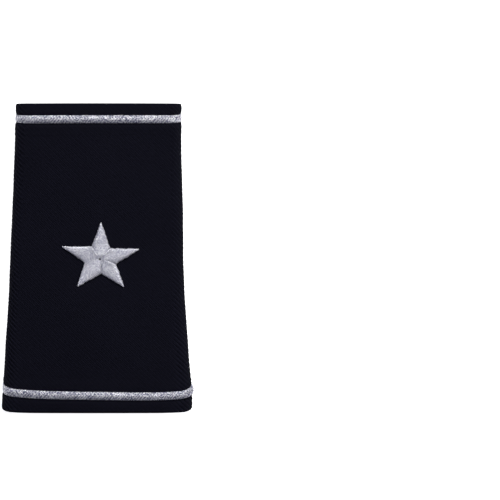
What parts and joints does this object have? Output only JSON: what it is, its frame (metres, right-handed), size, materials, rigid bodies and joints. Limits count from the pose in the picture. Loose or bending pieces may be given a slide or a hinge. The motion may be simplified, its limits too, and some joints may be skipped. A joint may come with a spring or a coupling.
{
  "type": "epaulette",
  "caption": "Slip-on epaulette: a flattened, tapered cloth sleeve with raised silver braid near both ends and an embroidered star on its front.",
  "frame": {"origin": "middle of the surface that the epaulette's back lies on, under the middle of its bounding box", "axes": "+Y along the sleeve from the wide, shoulder-seam end to the narrow, collar end; +Z out of the front, which carries the star; +X to the right when the front is seen with the collar end up"},
  "size_m": [0.0548, 0.0875, 0.0098],
  "materials": {
    "cloth": "near-black navy twill gabardine, matt with a faint sheen",
    "braid_thread": "plaited silver metallic thread, glinting",
    "star_thread": "silver-grey satin stitch, silky"
  },
  "bodies": {
    "root": {"sleeve": "cloth", "wide_end_braid": "braid_thread", "narrow_end_braid": "braid_thread", "star_point_top": "star_thread", "star_point_left": "star_thread", "star_point_lower_left": "star_thread", "star_point_lower_right": "star_thread", "star_point_right": "star_thread"}
  },
  "joints": []
}
